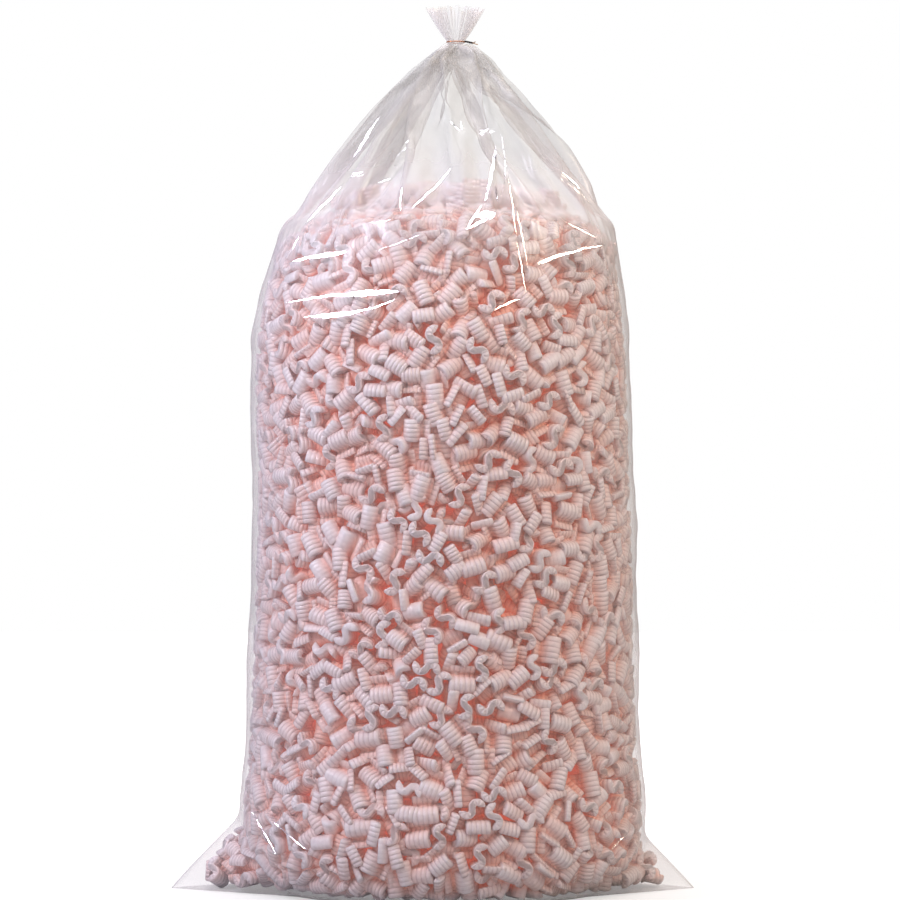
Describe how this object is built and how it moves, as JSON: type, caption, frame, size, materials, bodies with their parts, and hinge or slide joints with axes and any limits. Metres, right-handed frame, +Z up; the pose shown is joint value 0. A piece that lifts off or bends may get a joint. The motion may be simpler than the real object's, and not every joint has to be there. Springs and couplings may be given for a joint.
{
  "type": "packing peanut bag",
  "caption": "Tall clear film bag full of S-shaped foam packing peanuts, gathered at the neck and closed with a wire tie.",
  "frame": {"origin": "on the floor, at the middle of the bag's footprint box", "axes": "+Z up, -Y the front, +X to the right seen from the front; the foot seal's two ears lie along X"},
  "size_m": [0.74, 0.532, 1.232],
  "materials": {
    "film": "clear thin film, glossy",
    "foam": "pink expanded foam, satin skin",
    "wire": "copper-brown wire, satin"
  },
  "bodies": {
    "root": {"bag_film": "film", "peanut_fill": "foam", "peanut_01": "foam", "peanut_02": "foam", "peanut_03": "foam", "peanut_04": "foam", "peanut_05": "foam", "peanut_06": "foam", "peanut_07": "foam", "peanut_08": "foam", "peanut_09": "foam", "peanut_10": "foam", "peanut_11": "foam", "peanut_12": "foam", "peanut_13": "foam", "peanut_14": "foam", "peanut_15": "foam", "peanut_16": "foam", "peanut_17": "foam", "peanut_18": "foam", "peanut_19": "foam", "peanut_20": "foam", "peanut_21": "foam", "peanut_22": "foam", "peanut_23": "foam", "peanut_24": "foam", "peanut_25": "foam", "peanut_26": "foam", "peanut_27": "foam", "peanut_28": "foam", "peanut_29": "foam", "peanut_30": "foam", "peanut_31": "foam", "peanut_32": "foam", "peanut_33": "foam", "peanut_34": "foam", "peanut_35": "foam", "peanut_36": "foam", "peanut_37": "foam", "wire_tie": "wire"}
  },
  "joints": []
}
